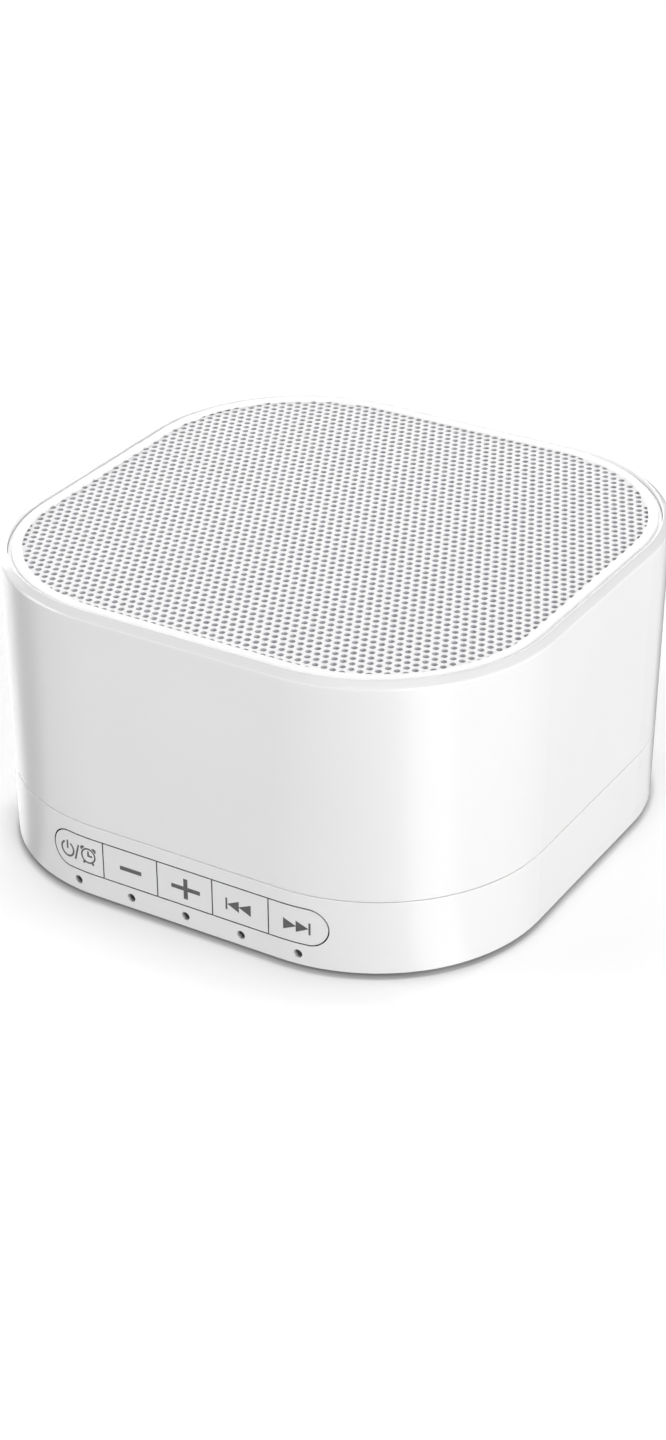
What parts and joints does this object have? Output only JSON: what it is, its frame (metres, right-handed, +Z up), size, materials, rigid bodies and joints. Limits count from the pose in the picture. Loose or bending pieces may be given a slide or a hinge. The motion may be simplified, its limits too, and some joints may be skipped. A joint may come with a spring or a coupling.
{
  "type": "white noise sound machine",
  "caption": "Compact square bedside sound machine with a perforated top grille over an upward speaker, push keys along the front, and a jack and power inlet at the back.",
  "frame": {"origin": "centre of the footprint on the surface that the feet stand on", "axes": "+Z up through the grille, -Y out of the face with the keys, +X to the right as seen from the front"},
  "size_m": [0.1014, 0.1014, 0.0555],
  "materials": {
    "housing_plastic": "white moulded ABS, satin gloss",
    "frame_plastic": "white moulded ABS, satin",
    "sheet_metal": "perforated steel, white powder coat",
    "cloth": "grey non-woven dust cloth",
    "key_plastic": "white moulded ABS with grey printed symbols",
    "switch_plastic": "black nylon",
    "light": "clear resin over a chip",
    "guide": "milky acrylic",
    "board": "green solder mask",
    "header": "black nylon",
    "pins": "gold plated",
    "gasket": "black foam",
    "steel": "zinc plated steel",
    "surround": "black rubber",
    "paper": "pressed paper, dyed black",
    "cap": "pressed paper, dyed black",
    "former": "brown former paper",
    "copper": "enamelled copper wire",
    "spider": "resin treated cotton",
    "ferrite": "grey ferrite",
    "terminal": "brown phenolic board",
    "wire": "red and black PVC",
    "plug": "natural nylon",
    "chip": "black epoxy with tinned legs",
    "capacitor": "sleeved aluminium can",
    "jack": "black nylon",
    "inlet": "nickel plated steel",
    "tongue": "black nylon with gold contacts",
    "foot": "grey silicone rubber",
    "screw": "zinc plated steel"
  },
  "bodies": {
    "housing": {"upper_housing": "housing_plastic", "lower_housing": "housing_plastic", "grille_frame": "frame_plastic", "perforated_grille": "sheet_metal", "grille_cloth": "cloth", "tact_switch_1": "switch_plastic", "tact_switch_2": "switch_plastic", "tact_switch_3": "switch_plastic", "tact_switch_4": "switch_plastic", "tact_switch_5": "switch_plastic", "indicator_light_1": "light", "indicator_light_2": "light", "indicator_light_3": "light", "indicator_light_4": "light", "indicator_light_5": "light", "light_guide": "guide", "key_board": "board", "board_header": "header", "header_pins": "pins", "speaker_gasket": "gasket", "speaker_basket": "steel", "speaker_surround": "surround", "speaker_spider": "spider", "top_plate": "steel", "speaker_magnet": "ferrite", "speaker_yoke": "steel", "terminal_strip": "terminal", "terminal_lugs": "pins", "speaker_leads": "wire", "speaker_plug": "plug", "speaker_screws": "screw", "main_board": "board", "main_chip": "chip", "amplifier_chip": "chip", "memory_chip": "chip", "filter_capacitors": "capacitor", "board_screws": "screw", "audio_jack": "jack", "power_inlet": "inlet", "inlet_tongue": "tongue", "rubber_feet": "foot", "housing_screws": "screw"},
    "key_power": {"key_power": "key_plastic", "switch_plunger_1": "switch_plastic"},
    "key_minus": {"key_minus": "key_plastic", "switch_plunger_2": "switch_plastic"},
    "key_plus": {"key_plus": "key_plastic", "switch_plunger_3": "switch_plastic"},
    "key_previous": {"key_previous": "key_plastic", "switch_plunger_4": "switch_plastic"},
    "key_next": {"key_next": "key_plastic", "switch_plunger_5": "switch_plastic"},
    "cone": {"speaker_cone": "paper", "dust_cap": "cap", "coil_former": "former", "voice_coil": "copper"}
  },
  "joints": [
    {"name": "power_press", "type": "slide", "parent": "housing", "child": "key_power", "axis": [0, 1, 0], "range_m": [0, 0.00035], "stiffness_N_per_m": 2000},
    {"name": "minus_press", "type": "slide", "parent": "housing", "child": "key_minus", "axis": [0, 1, 0], "range_m": [0, 0.00035], "stiffness_N_per_m": 2000},
    {"name": "plus_press", "type": "slide", "parent": "housing", "child": "key_plus", "axis": [0, 1, 0], "range_m": [0, 0.00035], "stiffness_N_per_m": 2000},
    {"name": "previous_press", "type": "slide", "parent": "housing", "child": "key_previous", "axis": [0, 1, 0], "range_m": [0, 0.00035], "stiffness_N_per_m": 2000},
    {"name": "next_press", "type": "slide", "parent": "housing", "child": "key_next", "axis": [0, 1, 0], "range_m": [0, 0.00035], "stiffness_N_per_m": 2000},
    {"name": "cone_stroke", "type": "slide", "parent": "housing", "child": "cone", "axis": [0, 0, 1], "range_m": [-0.001, 0.001], "stiffness_N_per_m": 1500, "deforming": ["speaker_surround", "speaker_spider"]}
  ]
}
